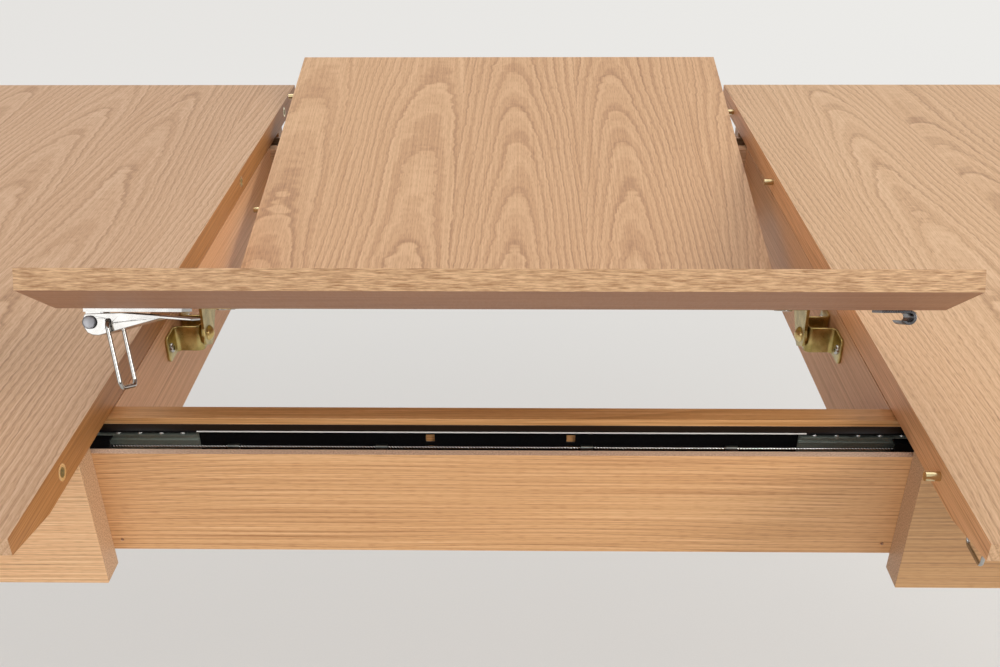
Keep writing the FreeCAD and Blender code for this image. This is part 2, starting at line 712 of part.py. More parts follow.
def pivot(name, way):
    """Hat-shaped bracket on the cross rail; arm and rivet on the near half of the leaf."""
    bracket = new_body(name + "_bracket")
    stand = "(" + GAP + " - (" + WEB_OUT + "))"
    t = "bracket_sheet"
    b = "bracket_half"
    outline = [("0", "-(" + b + " + bracket_foot)"), ("0", "-(" + b + " - " + t + ")"),
               (stand + " - " + t, "-(" + b + " - " + t + ")"), (stand + " - " + t, b + " - " + t),
               ("0", b + " - " + t), ("0", b + " + bracket_foot"), (t, b + " + bracket_foot"), (t, b),
               (stand, b), (stand, "-" + b), (t, "-" + b), (t, "-(" + b + " + bracket_foot)")]
    outline = [("-1 * " + str(way) + " * (" + u + ")", v) for u, v in outline]
    strip = pad(bracket, name + "_bracket_pad", sketch(bracket, name + "_bracket_plan", "XY_Plane", outline),
                "bracket_high", middle=True)
    round_bends(bracket, strip, name)
    hole = sketch(bracket, name + "_bracket_hole", "YZ_Plane", circles=[("0", "0", "rivet_shank / 2 + run_clear")])
    pocket(bracket, name + "_bracket_bore", hole, middle=True)
    put(bracket, str(way) + " * " + GAP, "-pivot_offset", below("pivot_drop"))

    arm = new_body(name + "_arm")
    outline = []
    for u, v in ((-1, 0), (1, 0)):
        outline.append((str(u) + " * arm_top_half", "-top_thick"))
    outline += [("arm_half", "-pivot_drop + 3"), ("arm_half", "-pivot_drop - 3"), ("arm_half - 6", "-pivot_drop - arm_below"),
                ("-arm_half + 6", "-pivot_drop - arm_below"), ("-arm_half", "-pivot_drop - 3"),
                ("-arm_half", "-pivot_drop + 3")]
    outline = [("-pivot_offset + " + u, v) for u, v in outline]
    pad(arm, name + "_arm_pad", sketch(arm, name + "_arm_face", "YZ_Plane", outline,
                                       offset=str(way) + " * (" + ARM_IN + ")"), "arm_sheet", back=way < 0)
    flange = [("-pivot_offset - arm_top_half", "-top_thick"), ("-pivot_offset + arm_top_half", "-top_thick"),
              ("-pivot_offset + arm_top_half", "-top_thick - arm_sheet"),
              ("-pivot_offset - arm_top_half", "-top_thick - arm_sheet")]
    pad(arm, name + "_flange_pad", sketch(arm, name + "_flange_face", "YZ_Plane", flange,
                                          offset=str(way) + " * (" + ARM_IN + " - arm_flange)"), "arm_flange",
        back=way < 0)
    shaft_hole = sketch(arm, name + "_arm_hole", "YZ_Plane",
                        circles=[("-pivot_offset", "-pivot_drop", "rivet_shank / 2")])
    pocket(arm, name + "_arm_bore", shaft_hole, back=way > 0)
    seat(arm, "near")

    shank = rod(name + "_shank", "X", "rivet_shank / 2",
                *flip(way, ARM_IN + " - 1", WEB_OUT + " + bracket_sheet + run_clear + 2"),
                "-pivot_offset", "-pivot_drop")
    tail = rod(name + "_tail", "X", "rivet_dome / 2 - 1",
               *flip(way, WEB_OUT + " + bracket_sheet + run_clear", WEB_OUT + " + bracket_sheet + run_clear + 2"),
               "-pivot_offset", "-pivot_drop")
    dome = doc.addObject("Part::Sphere", name + "_dome")
    sphere = "(rivet_proud * rivet_proud + rivet_dome * rivet_dome / 4) / (rivet_proud * 2)"
    bind(dome, "Radius", sphere)
    bind(dome, "Angle1", "asin(1 - rivet_proud / (" + sphere + "))")
    turn(dome, (0, 1, 0), -90 * way)
    put(dome, str(way) + " * (" + ARM_IN + " - rivet_proud + " + sphere + ")", "-pivot_offset", "-pivot_drop")
    rivet = fuse(name + "_rivet", [shank, tail, dome])
    seat(rivet, "near")

    foot_screws = []
    for k in (-1, 1):
        y = "-pivot_offset + " + str(k) + " * (bracket_half + bracket_foot - screw_inset)"
        foot_screws.append(screw(name + "_foot_screw", "X", -way, str(way) + " * (" + GAP + " - bracket_sheet)", y,
                                 below("pivot_drop")))
    flange_screws = []
    for k in (-1, 1):
        flange_screws.append(screw(name + "_flange_screw", "Z", -1, "-top_thick - arm_sheet + screw_head / 3",
                                   str(way) + " * (" + ARM_IN + " - arm_flange / 2 - 2)",
                                   "-pivot_offset + " + str(k) + " * (arm_top_half - screw_inset)"))
    arm_screws = group(name + "_arm_screws", flange_screws)
    seat(arm_screws, "near")
    return bracket, arm, rivet, group(name + "_bracket_screws", foot_screws), arm_screws


def screw(label, axis, way, face, a, b):
    """Pan-head screw whose head sits on the plane face and sticks out in the direction way."""
    head = flip(way, "0", "screw_head / 3")
    shank = flip(way, "-screw_long", "0.2")
    return fuse(label, [rod(label + "_head", axis, "screw_head / 2", face + " + " + head[0], face + " + " + head[1],
                            a, b),
                        rod(label + "_shank", axis, "screw_shank / 2", face + " + " + shank[0],
                            face + " + " + shank[1], a, b)])


# ---------------------------------------------------------------- toggle latches
# A latch is drawn with its outer end at x = 0 and its mounting face at z = 0. Its lever points to +X.
# The bail's arms pass outside the heads of the lever's rivet.
HEAD_IN = "lever_wide / 2 + run_clear"
HEAD_OUT = HEAD_IN + " + head_proud"
BAIL_HALF = HEAD_OUT + " + bail_play + bail_wire / 2"


def bail_path(bail, name, lean):
    """Centre line of the wire: hooked end, arm, bar, arm and hooked end, joined by round bends."""
    path = bail.newObject("Sketcher::SketchObject", name + "_bail_path")
    path.AttachmentSupport = ([o for o in bail.Origin.OriginFeatures if o.Role == "YZ_Plane"][0], [""])
    path.MapMode = "FlatFace"
    path.AttachmentOffset = FreeCAD.Placement(FreeCAD.Vector(), FreeCAD.Rotation(FreeCAD.Vector(1, 0, 0), 1))
    bind(path, "AttachmentOffset.Rotation.Angle", "-(" + lean + ")")
    half = "(" + BAIL_HALF + ")"
    runs = [("-" + half + " + bail_hook", "0", "-" + half + " + bail_bend", "0"),
            ("-" + half, "-bail_bend", "-" + half, "-bail_drop + bail_bend"),
            ("-" + half + " + bail_bend", "-bail_drop", half + " - bail_bend", "-bail_drop"),
            (half, "-bail_drop + bail_bend", half, "-bail_bend"),
            (half + " - bail_bend", "0", half + " - bail_hook", "0")]
    rough = [(-6, 0, -8, 0), (-12, -4, -12, -34), (-8, -38, 8, -38), (12, -34, 12, -4), (8, 0, 6, 0)]
    centres = [(-8, -4), (-8, -34), (8, -34), (8, -4)]
    for a, b, c, d in rough:
        path.addGeometry(Part.LineSegment(FreeCAD.Vector(a, b, 0), FreeCAD.Vector(c, d, 0)), False)
    for i, (a, b) in enumerate(centres):
        turned = math.pi / 2 * (i + 1)
        circle = Part.Circle(FreeCAD.Vector(a, b, 0), FreeCAD.Vector(0, 0, 1), 4)
        path.addGeometry(Part.ArcOfCircle(circle, turned, turned + math.pi / 2), False)
    for i, (run, start) in enumerate(zip(runs, rough)):
        locate(path, i, 1, *run[:2], start=start[:2])
        locate(path, i, 2, *run[2:], start=start[2:])
    for i in range(len(centres)):
        arc = len(runs) + i
        path.addConstraint(Sketcher.Constraint("Tangent", i, 2, arc, 1))
        path.addConstraint(Sketcher.Constraint("Coincident", arc, 2, i + 1, 1))
    return path


def latch(name, where, x, y, lean):
    z = "-top_thick"
    plate = box(name + "_plate", ("0", "latch_long"), ("-latch_wide / 2", "latch_wide / 2"), ("-latch_sheet", "0"))
    ears = []
    for side in (-1, 1):
        ears.append(box(name + "_ear", ("0.4", "9"), flip(side, "ear_y", "ear_y + ear_sheet"),
                        ("-rivet_z - 2.9", "-latch_sheet + 0.2")))
    shaft = rod(name + "_pin", "Y", "2", "-(" + HEAD_OUT + ")", HEAD_OUT, "rivet_x", "-rivet_z")
    heads = []
    for side in (-1, 1):
        heads.append(rod(name + "_head", "Y", "3", *flip(side, HEAD_IN, HEAD_OUT), "rivet_x", "-rivet_z"))
    seat(fuse(name + "_latch_base", [plate, shaft] + ears + heads), where, x, y, z)

    lever = new_body(name + "_latch_lever")
    side_view = [("0.4", "-rivet_z + 4.8"), ("lever_long - 40", "-2.5"), ("lever_long - 21", "-3.8"),
                 ("lever_long - 17.5", "-4.2"), ("lever_long", "-5.6"), ("lever_long", "-6.9"),
                 ("lever_long - 18", "-5.7"), ("8", "-lever_deep"), ("4.5", "-lever_deep + 0.2"),
                 ("1.6", "-rivet_z - 5.9"), ("-0.2", "-rivet_z - 3.1"), ("-0.7", "-rivet_z"),
                 ("-0.5", "-rivet_z + 2.9")]
    pad(lever, name + "_lever_pad", sketch(lever, name + "_lever_side", "XZ_Plane", side_view), "lever_wide",
        middle=True)
    inside = [("-3", "-1"), ("lever_long - 21.5", "-1"), ("lever_long - 21.5", "-5.3"), ("7", "-lever_deep + 1"),
              ("7", "-lever_deep - 2"), ("-3", "-lever_deep - 2")]
    pocket(lever, name + "_lever_hollow", sketch(lever, name + "_lever_inside", "XZ_Plane", inside),
           "lever_wide - ear_sheet * 2", middle=True)
    holes = sketch(lever, name + "_lever_holes", "XZ_Plane",
                   circles=[("rivet_x", "-rivet_z", "2 + run_clear"), ("bail_x", "-bail_z", "bail_wire / 2 + run_clear")])
    pocket(lever, name + "_lever_bores", holes, middle=True)
    seat(lever, where, x, y, z)

    bail = new_body(name + "_latch_bail")
    path = bail_path(bail, name, lean)
    section = sketch(bail, name + "_bail_section", "XZ_Plane", circles=[("0", "0", "bail_wire / 2")],
                     offset=BAIL_HALF + " - bail_hook")
    pipe = bail.newObject("PartDesign::AdditivePipe", name + "_bail_pipe")
    pipe.Profile = section
    pipe.Spine = path
    seat(bail, where, "(" + x + ") + bail_x", y, z + " - bail_z")


def keeper(name, where, x, y):
    """Plate whose end is rolled down to a hook; its mouth faces -X, away from the latch that pulls on it."""
    roll = "keeper_deep / 2"
    middle = "keeper_long - " + roll
    wide = ("-keeper_wide / 2", "keeper_wide / 2")
    plate = box(name + "_plate", ("0", middle), wide, ("-keeper_sheet", "0"))
    outer = rod(name + "_roll", "Y", roll, *wide, middle, "-" + roll)
    inner = rod(name + "_roll_bore", "Y", roll + " - keeper_sheet", "-keeper_wide / 2 - 1", "keeper_wide / 2 + 1",
                middle, "-" + roll)
    mouth = box(name + "_mouth", (middle + " - " + roll + " - 1", middle), ("-keeper_wide / 2 - 1", "keeper_wide / 2 + 1"),
                ("-keeper_deep + keeper_sheet + 0.8", "-keeper_sheet"))
    hook = cut(name + "_hook", outer, group(name + "_openings", [inner, mouth]))
    seat(fuse(name, [plate, hook]), where, x, y, "-top_thick")


# ---------------------------------------------------------------- build
centre_frame()
slides()
rope_drive()
top_half("left", -1, "socket_dia / 2", "socket_deep")
top_half("right", 1, "pin_dia / 2", "pin_in")
for side_name, side_way in HALVES:
    table_half(side_name, side_way)
sockets("left_top_sockets", "top", "-" + GAP, -1, ("-" + PIN_Y, "pin_mid_y", PIN_Y))
pins("right_top_pins", "top", GAP, ("-" + PIN_Y, "pin_mid_y", PIN_Y))
leaf_half("near", -1, ("-" + PIN_Y,))
leaf_half("far", 1, ("pin_mid_y", PIN_Y))
fold_links()
for pair in zip(("pivot_brackets", "pivot_arms", "pivot_rivets", "bracket_screws", "arm_screws"),
                pivot("left", -1), pivot("right", 1)):
    group(pair[0], list(pair[1:]))
latch("left", "near", "-" + LEAF_END + " + latch_inset", "-(table_depth / 2 - latch_edge)", "bail_lean")
latch("right", "top", GAP + " + right_latch_inset", "-(table_depth / 2 - right_latch_edge)", "0")
keeper("leaf_keeper", "near", LEAF_END + " - keeper_reach", "-(table_depth / 2 - right_latch_edge)")
keeper("left_top_keeper", "top", "-" + GAP + " - keeper_reach", "-(table_depth / 2 - latch_edge)")
doc.recompute()

# ---------------------------------------------------------------- check and export
NODES = []
for obj in doc.Objects:
    if obj.State and ("Invalid" in obj.State or "Error" in obj.State):
        raise RuntimeError(obj.Name + " is " + str(obj.State))
    used = [other for other in obj.InList if other.TypeId.startswith("Part::")]
    is_piece = obj.TypeId.startswith("Part::") or obj.TypeId == "PartDesign::Body"
    if is_piece and not used:
        NODES.append(obj)
for obj in NODES:
    if obj.Shape.isNull() or not obj.Shape.isValid():
        raise RuntimeError(obj.Name + " has no valid shape")
    obj.Label = obj.Name
    obj.Shape.exportStep("parts/" + obj.Name + ".step")
print(len(NODES), "nodes")
for obj in NODES:
    b = obj.Shape.BoundBox
    print(obj.Name, len(obj.Shape.Solids), round(obj.Shape.Volume), "%.1f %.1f %.1f  %.1f %.1f %.1f" % (
        b.XMin, b.YMin, b.ZMin, b.XMax, b.YMax, b.ZMax))
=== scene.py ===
import bpy
import bmesh
import json
import math
from mathutils import Matrix, Vector


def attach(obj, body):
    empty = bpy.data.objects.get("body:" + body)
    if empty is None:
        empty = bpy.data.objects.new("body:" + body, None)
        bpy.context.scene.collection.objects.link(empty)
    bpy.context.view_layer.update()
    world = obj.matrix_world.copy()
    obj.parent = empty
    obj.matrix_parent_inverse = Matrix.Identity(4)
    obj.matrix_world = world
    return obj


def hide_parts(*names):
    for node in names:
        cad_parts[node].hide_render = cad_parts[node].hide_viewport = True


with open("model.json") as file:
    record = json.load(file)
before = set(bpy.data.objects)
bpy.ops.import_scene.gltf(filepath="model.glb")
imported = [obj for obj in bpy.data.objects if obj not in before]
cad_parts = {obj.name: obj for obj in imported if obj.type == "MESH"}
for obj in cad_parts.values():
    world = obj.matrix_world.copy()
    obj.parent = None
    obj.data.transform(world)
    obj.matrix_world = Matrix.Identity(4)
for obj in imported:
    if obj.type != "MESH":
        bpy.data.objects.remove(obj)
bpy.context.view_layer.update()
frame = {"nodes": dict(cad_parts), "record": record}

bpy.ops.object.select_all(action="DESELECT")
MM = 0.001
X, Y, Z = 0, 1, 2

# ---------------------------------------------------------------- places shared with the frame, in metres
NEAR_TILT = math.radians(25.77)
FAR_TILT = math.radians(12.03)
TOP = 750.0 * MM
PIVOT_Y = -127.4 * MM
PIVOT_Z = 707.4 * MM
RAIL_FACE = 264.0 * MM
CROWN_MIDDLE = 241.8 * MM
ARM_FACE = 237.9 * MM
ARM_SCREW_X = 223.9 * MM
CAGE_MIDDLES = {"left": -299.0 * MM, "right": 295.0 * MM}
APRON_FACE = 349.5 * MM
END_FACE = 963.5 * MM
FILLER_FACE = 328.2 * MM
BLOCK_FACE = 328.5 * MM
SLIDE_BOARD_TOP = 728.0 * MM
REAR_BOARD_FACE = 291.0 * MM
TROUGH_TOP = 655.0 * MM
WAVE = 0.314  # a wave texture of scale 1 repeats every 0.314 units

# ---------------------------------------------------------------- camera
LENS = 39.247
SHIFT_UP = 0.10
CAMERA_AT = (0.0100, -0.9103, 1.1152)
PITCH = math.radians(32.76)
YAW = math.radians(-0.96)
ROLL = math.radians(-0.29)


def make_camera():
    ahead = Vector((math.sin(YAW) * math.cos(PITCH), math.cos(YAW) * math.cos(PITCH), -math.sin(PITCH)))
    right = Vector((math.cos(YAW), -math.sin(YAW), 0))
    up = right.cross(ahead)
    side = math.cos(ROLL) * right + math.sin(ROLL) * up
    top = -math.sin(ROLL) * right + math.cos(ROLL) * up
    data = bpy.data.cameras.new("camera")
    data.lens = LENS
    data.sensor_width = 36.0
    data.sensor_fit = "HORIZONTAL"
    data.shift_y = SHIFT_UP
    data.clip_start = 0.02
    camera = bpy.data.objects.new("camera", data)
    bpy.context.scene.collection.objects.link(camera)
    camera.matrix_world = Matrix.Translation(CAMERA_AT) @ Matrix((side, top, -ahead)).transposed().to_4x4()
    bpy.context.scene.camera = camera


make_camera()
bpy.context.scene.view_settings.view_transform = "Standard"


# ---------------------------------------------------------------- material helpers
def linear(code):
    """sRGB hex to linear RGBA."""
    channels = [int(code[i:i + 2], 16) / 255 for i in (0, 2, 4)]
    return (*(c / 12.92 if c <= 0.04045 else ((c + 0.055) / 1.055) ** 2.4 for c in channels), 1.0)


def add(tree, kind, inputs=(), stops=(), **settings):
    """Add one node. An input is a plain value, a socket, or a node whose first output feeds it."""
    made = tree.nodes.new("ShaderNode" + kind)
    for name, value in settings.items():
        setattr(made, name, value)
    for key, value in inputs.items() if isinstance(inputs, dict) else enumerate(inputs):
        if isinstance(value, bpy.types.Node):
            value = value.outputs[0]
        if isinstance(value, bpy.types.NodeSocket):
            tree.links.new(value, made.inputs[key])
        else:
            made.inputs[key].default_value = value
    for i, (place, code) in enumerate(stops):
        band = made.color_ramp.elements
        element = band[i] if i < len(band) else band.new(1.0)
        element.position = place
        element.color = linear(code)
    return made


def new_material(name):
    made = bpy.data.materials.new(name)
    made.use_nodes = True
    made.node_tree.nodes.clear()
    return made, made.node_tree


# ---------------------------------------------------------------- wood

def oak(name, axes, seed, face=TOP, lean=0.0, slat=130 * MM, ring=4.4 * MM, ripple=2.6 * MM,
        aside=-25 * MM, rise=2.0, light="DEB995", mid="C9A07A", dark="9A7150", figure=0.86, streak=0.60,
        trims=()):
    """Crown-cut oak veneer, sanded and lacquered: pale wood with slightly darker wavy year lines that close
    to flames, fine broken pores along the grain, and leaves of veneer that differ a little in tone.
    axes: the object axes across, along and through the grain; face: where the face lies along the last of
    them, turned by lean; slat: how wide a leaf of veneer is; ring: how far apart its year lines are; ripple:
    how far they wander; aside: how far their heart lies from the leaf's middle; rise: their slope in degrees;
    figure and streak: how strongly year lines and fibre show.
    trims: faces that look another way, each as
    (direction, how fast its speckle changes along X, Y and Z per metre, dark colour, light colour)."""
    made, tree = new_material(name)
    place = add(tree, "TexCoord")
    to_face = Vector()
    to_face[axes[2]] = -face
    level = add(tree, "Mapping", {"Vector": place.outputs["Object"], "Location": to_face,
                                  "Rotation": (lean, 0, 0)})
    split = add(tree, "SeparateXYZ", (level,))
    across, along, through = [split.outputs[i] for i in axes]

    # leaf of veneer that a point lies in, and where its log was cut
    number = add(tree, "Math", (across, 1 / slat, seed), operation="MULTIPLY_ADD")
    leaf = add(tree, "Math", (number,), operation="FLOOR")
    draw = add(tree, "TexWhiteNoise", {"W": leaf}, noise_dimensions="1D")
    within = add(tree, "Math", (number, leaf), operation="SUBTRACT")
    within = add(tree, "Math", (within, slat, -slat * 0.85), operation="MULTIPLY_ADD")
    board = add(tree, "CombineXYZ", (within, along, through))
    log = add(tree, "VectorMath", (draw.outputs["Color"], (slat * 0.75, 0.7, 0.03), board),
              operation="MULTIPLY_ADD")

    # year rings round a heart that lies 26 mm below the face; they wander slowly and ripple every 13 mm
    slow = add(tree, "VectorMath", (log, (6.0, 1.7, 6.0)), operation="MULTIPLY")
    slow = add(tree, "TexNoise", {"Vector": slow, "Scale": 1.0, "Detail": 2.0})
    quick = add(tree, "VectorMath", (log, (24.0, 75.0, 24.0)), operation="MULTIPLY")
    quick = add(tree, "TexNoise", {"Vector": quick, "Scale": 1.0, "Detail": 2.0})
    bent = add(tree, "VectorMath", (slow.outputs["Color"], (0.050, 0.0, 0.024), log),
               operation="MULTIPLY_ADD")
    bent = add(tree, "VectorMath", (quick.outputs["Color"], (ripple, 0.0, ripple), bent),
               operation="MULTIPLY_ADD")
    bent = add(tree, "Mapping", {"Vector": bent, "Location": (aside, 0.0, 26 * MM),
                                 "Rotation": (math.radians(rise), 0.0, 0.0)})
    years = add(tree, "TexWave", {"Vector": bent, "Scale": WAVE / ring}, wave_type="RINGS",
                rings_direction="Y", wave_profile="SAW")
    early = add(tree, "ValToRGB", (years.outputs["Fac"],),
                stops=((0.0, "202020"), (0.08, "FFFFFF"), (0.30, "B4B4B4"), (0.62, "484848"),
                       (0.86, "000000")))
    between = add(tree, "TexWave", {"Vector": bent, "Scale": WAVE / (ring * 0.41)}, wave_type="RINGS",
                  rings_direction="Y", wave_profile="SIN")

    # fibre 1.4 mm wide, and pores 0.7 mm wide and 9 mm long: both twice as coarse as in oak, so they show
    fibre = add(tree, "VectorMath", (board, (700.0, 4.0, 700.0)), operation="MULTIPLY")
    fibre = add(tree, "TexNoise", {"Vector": fibre, "Scale": 1.0, "Detail": 2.0, "Roughness": 0.55})
    pores = add(tree, "VectorMath", (board, (1500.0, 110.0, 1500.0)), operation="MULTIPLY")
    pores = add(tree, "TexNoise", {"Vector": pores, "Scale": 1.0, "Detail": 1.0})
    pores = add(tree, "MapRange", {"Value": pores, "From Min": 0.50, "From Max": 0.70})

    strength = add(tree, "MapRange", {"Value": slow, "From Min": 0.3, "From Max": 0.7,
                                      "To Min": 0.20 * figure, "To Max": 0.44 * figure})
    shade = add(tree, "Math", (early, strength), operation="MULTIPLY")
    shade = add(tree, "Math", (between.outputs["Fac"], 0.12 * figure, shade), operation="MULTIPLY_ADD")
    shade = add(tree, "Math", (fibre, streak, shade), operation="MULTIPLY_ADD")
    shade = add(tree, "Math", (pores, 0.24 * figure, shade), operation="MULTIPLY_ADD")
    shade = add(tree, "Math", (draw, 0.10, shade), operation="MULTIPLY_ADD")
    colour = add(tree, "ValToRGB", (shade,), stops=((0.26, light), (0.56, mid), (1.0, dark))).outputs["Color"]

    for toward, stretch, deep, pale in trims:
        grain = add(tree, "VectorMath", (level, stretch), operation="MULTIPLY")
        grain = add(tree, "TexNoise", {"Vector": grain, "Scale": 1.0, "Detail": 3.0, "Roughness": 0.65})
        trim = add(tree, "ValToRGB", (grain,), stops=((0.32, deep), (0.66, pale)))
        facing = add(tree, "VectorMath", (place.outputs["Normal"], toward), operation="DOT_PRODUCT")
        facing = add(tree, "Math", (facing.outputs["Value"], 0.6), operation="GREATER_THAN")
        colour = add(tree, "Mix", {"Factor": facing, 6: colour, 7: trim}, data_type="RGBA").outputs[2]

    rough = add(tree, "MapRange", {"Value": fibre, "To Min": 0.42, "To Max": 0.60})
    relief = add(tree, "Math", (pores, -1.0), operation="MULTIPLY")
    bump = add(tree, "Bump", {"Height": relief, "Strength": 0.25, "Distance": 0.1 * MM})
    shader = add(tree, "BsdfPrincipled", {"Base Color": colour, "Roughness": rough, "Normal": bump,
                                          "IOR": 1.5})
    add(tree, "OutputMaterial", (shader,))
    return made


# edge faces: grain that runs along X or Y, or sawn fibreboard with specks 1 mm wide
ALONG_X = (14, 1300, 1300)
ALONG_Y = (1100, 12, 1100)
SPECKS = (1000, 1000, 1000)
# Painted light: one edge banding is painted in two tones, darker on the left top and far leaf, whose edges
# the key lamp lights, and much lighter on the right top, whose inner edge faces away from it.
left_edges = [((way, 0, 0), ALONG_Y, "946234", "BC844E") for way in (-1, 1)]
right_edges = [((way, 0, 0), ALONG_Y, "C68A5A", "F4BC88") for way in (-1, 1)]
board_ends = [((way, 0, 0), SPECKS, "9A7452", "D9B28E") for way in (-1, 1)]
board_top = [((0, 0, 1), SPECKS, "BC997E", "F4D9C0")]
slide_board_front = [((0, -1, 0), ALONG_X, "C98A4C", "FFC486")]
leaf_edge = ((0, -math.cos(NEAR_TILT), math.sin(NEAR_TILT)), (120, 1500, 1500), "9C7048", "E0B78C")
leaf_underside = ((0, -math.sin(NEAR_TILT), -math.cos(NEAR_TILT)), (10, 260, 260), "A0745A", "AE8265")

# straight-grained boards: the lines run nearly along them, 3.1 mm apart
quiet = {"slat": 0.3, "ring": 3.1 * MM, "ripple": 0.35 * MM, "rise": 0.5, "aside": 70 * MM, "figure": 0.5,
         "streak": 0.85}
woods = {
    # Painted light: the left top is painted a little darker and the right top a little lighter, for the light
    # and sheen that fall more on the right.
    "left_top": oak("oak_veneer_left_top", (X, Y, Z), 3.3, light="DAB492", mid="C59B76", trims=left_edges),
    "right_top": oak("oak_veneer_right_top", (X, Y, Z), 11.6, light="E0BA94", mid="CCA37B",
                     trims=right_edges),
    "near_leaf_half": oak("oak_veneer_near_leaf", (X, Y, Z), 21.2, face=624.2 * MM, lean=NEAR_TILT,
                          trims=[leaf_edge, leaf_underside]),
    "far_leaf_half": oak("oak_veneer_far_leaf", (X, Y, Z), 29.4, face=673.9 * MM, lean=-FAR_TILT,
                         light="DBB289", mid="C49870", dark="966B4A", trims=left_edges),
    "front_filler_board": oak("oak_veneer_front_filler", (Z, X, Y), 5.1, face=-FILLER_FACE, **quiet,
                              light="F4C694", mid="D9A470", dark="9C6438", trims=board_top),
    "rear_filler_board": oak("oak_veneer_rear_filler", (Z, X, Y), 6.1, face=FILLER_FACE, **quiet,
                             trims=board_top),
    "front_slide_board": oak("solid_oak_front_slide_board", (Y, X, Z), 8.0, face=SLIDE_BOARD_TOP, **quiet,
                             light="E6B684", mid="CC965E", dark="A0703F", trims=slide_board_front),
    "rear_slide_board": oak("solid_oak_rear_slide_board", (Z, X, Y), 9.0, face=REAR_BOARD_FACE, **quiet),
    "trough_floors": oak("oak_trough_floors", (Y, X, Z), 10.0, face=TROUGH_TOP, **quiet),
}
# Painted light: the left aprons are painted much lighter, where the key lamp reaches them through the gap;
# the right ones, in the shade of the right top, keep about the plain tone.
apron_painted_light = {"left": {"light": "FFDDB0", "mid": "E6B687"}, "right": {"light": "E4BA8A", "mid": "CC9C6A"}}
for side, way in (("left", -1), ("right", 1)):
    woods[side + "_cross_rail"] = oak(
        "solid_oak_" + side + "_rail", (Z, Y, X), 13.0 + way, face=way * RAIL_FACE,
        **dict(quiet, figure=0.35), light="E8B88A", mid="D4A074", dark="A87650")
    woods[side + "_end_apron"] = oak("oak_veneer_" + side + "_end_apron", (Z, Y, X), 33.0 + way,
                                     face=way * END_FACE, **quiet)
    for place, front in (("front", -1), ("rear", 1)):
        woods[side + "_" + place + "_apron"] = oak(
            "oak_veneer_" + side + "_" + place + "_apron", (Z, X, Y), 16.3 + way + 3 * front,
            face=front * APRON_FACE, **quiet, trims=board_ends, **apron_painted_light[side])
        woods[side + "_" + place + "_leg"] = oak(
            "solid_oak_" + side + "_" + place + "_leg", (X, Z, Y), 25.0 + way + 3 * front,
            face=front * APRON_FACE, **quiet)
    planed = oak("planed_oak_" + side + "_blocks", (Z, X, Y), 37.0 + way, face=-BLOCK_FACE, **quiet)
    woods[side + "_corner_braces"] = woods[side + "_spacer_blocks"] = planed


# ---------------------------------------------------------------- metals
def plated(name, bright, dull, smooth, worn, metallic=1.0):
    """Plated or turned metal: the colour drifts in patches 10 mm wide, the sheen in grains 0.5 mm wide."""
    made, tree = new_material(name)
    place = add(tree, "TexCoord").outputs["Object"]
    grain = add(tree, "TexNoise", {"Vector": place, "Scale": 1 / (0.5 * MM), "Detail": 3.0, "Roughness": 0.6})
    patch = add(tree, "TexNoise", {"Vector": place, "Scale": 100.0, "Detail": 2.0})
    rough = add(tree, "MapRange", {"Value": grain, "From Min": 0.3, "From Max": 0.7, "To Min": smooth,
                                   "To Max": worn})
    tint = add(tree, "ValToRGB", (patch,), stops=((0.36, dull), (0.62, bright)))
    lift = add(tree, "Bump", {"Height": grain, "Strength": 0.06, "Distance": 0.01 * MM})
    shader = add(tree, "BsdfPrincipled", {"Base Color": tint, "Metallic": metallic, "Roughness": rough,
                                          "Normal": lift})
    add(tree, "OutputMaterial", (shader,))
    return made


def coated(name, low, high, worn=False):
    """Black coat baked on pressed steel: a low sheen over a fine orange peel. With worn set, the cut edge
    between the ball cages is painted near white, a painted highlight where some bare steel shows too, and a
    grey painted highlight runs along the outer corner of the bend."""
    made, tree = new_material(name)
    place = add(tree, "TexCoord").outputs["Object"]
    peel = add(tree, "TexNoise", {"Vector": place, "Scale": 1 / (0.6 * MM), "Detail": 2.0})
    tint = add(tree, "ValToRGB", (peel,), stops=((0.3, low), (0.75, high))).outputs["Color"]
    if worn:
        split = add(tree, "VectorMath", (place,), operation="ABSOLUTE")
        split = add(tree, "SeparateXYZ", (split,)).outputs
        # Painted highlight: the flange's cut edge between the ball cages is painted near white; bare steel
        # shows there only in part.
        lip = add(tree, "Math", (split[Y], 299.75 * MM), operation="GREATER_THAN")
        between = add(tree, "Math", (split[X], 203 * MM), operation="LESS_THAN")
        upper = add(tree, "Math", (split[Z], 722.6 * MM), operation="GREATER_THAN")
        cut = add(tree, "Math", (lip, between), operation="MULTIPLY")
        cut = add(tree, "Math", (cut, upper), operation="MULTIPLY")
        tint = add(tree, "Mix", {"Factor": cut, 6: tint, 7: linear("F2F2EE")}, data_type="RGBA").outputs[2]
        # Painted highlight: a grey line along the outer corner of the bend, where it catches the light.
        bend_highlight = add(tree, "Math", (split[Y], 291.7 * MM), operation="LESS_THAN")
        tint = add(tree, "Mix", {"Factor": bend_highlight, 6: tint, 7: linear("8C857D")}, data_type="RGBA").outputs[2]
    rough = add(tree, "MapRange", {"Value": peel, "To Min": 0.30, "To Max": 0.46})
    lift = add(tree, "Bump", {"Height": peel, "Strength": 0.15, "Distance": 0.05 * MM})
    shader = add(tree, "BsdfPrincipled", {"Base Color": tint, "Roughness": rough, "Normal": lift, "IOR": 1.5,
                                          "Specular IOR Level": 0.12})
    add(tree, "OutputMaterial", (shader,))
    return made


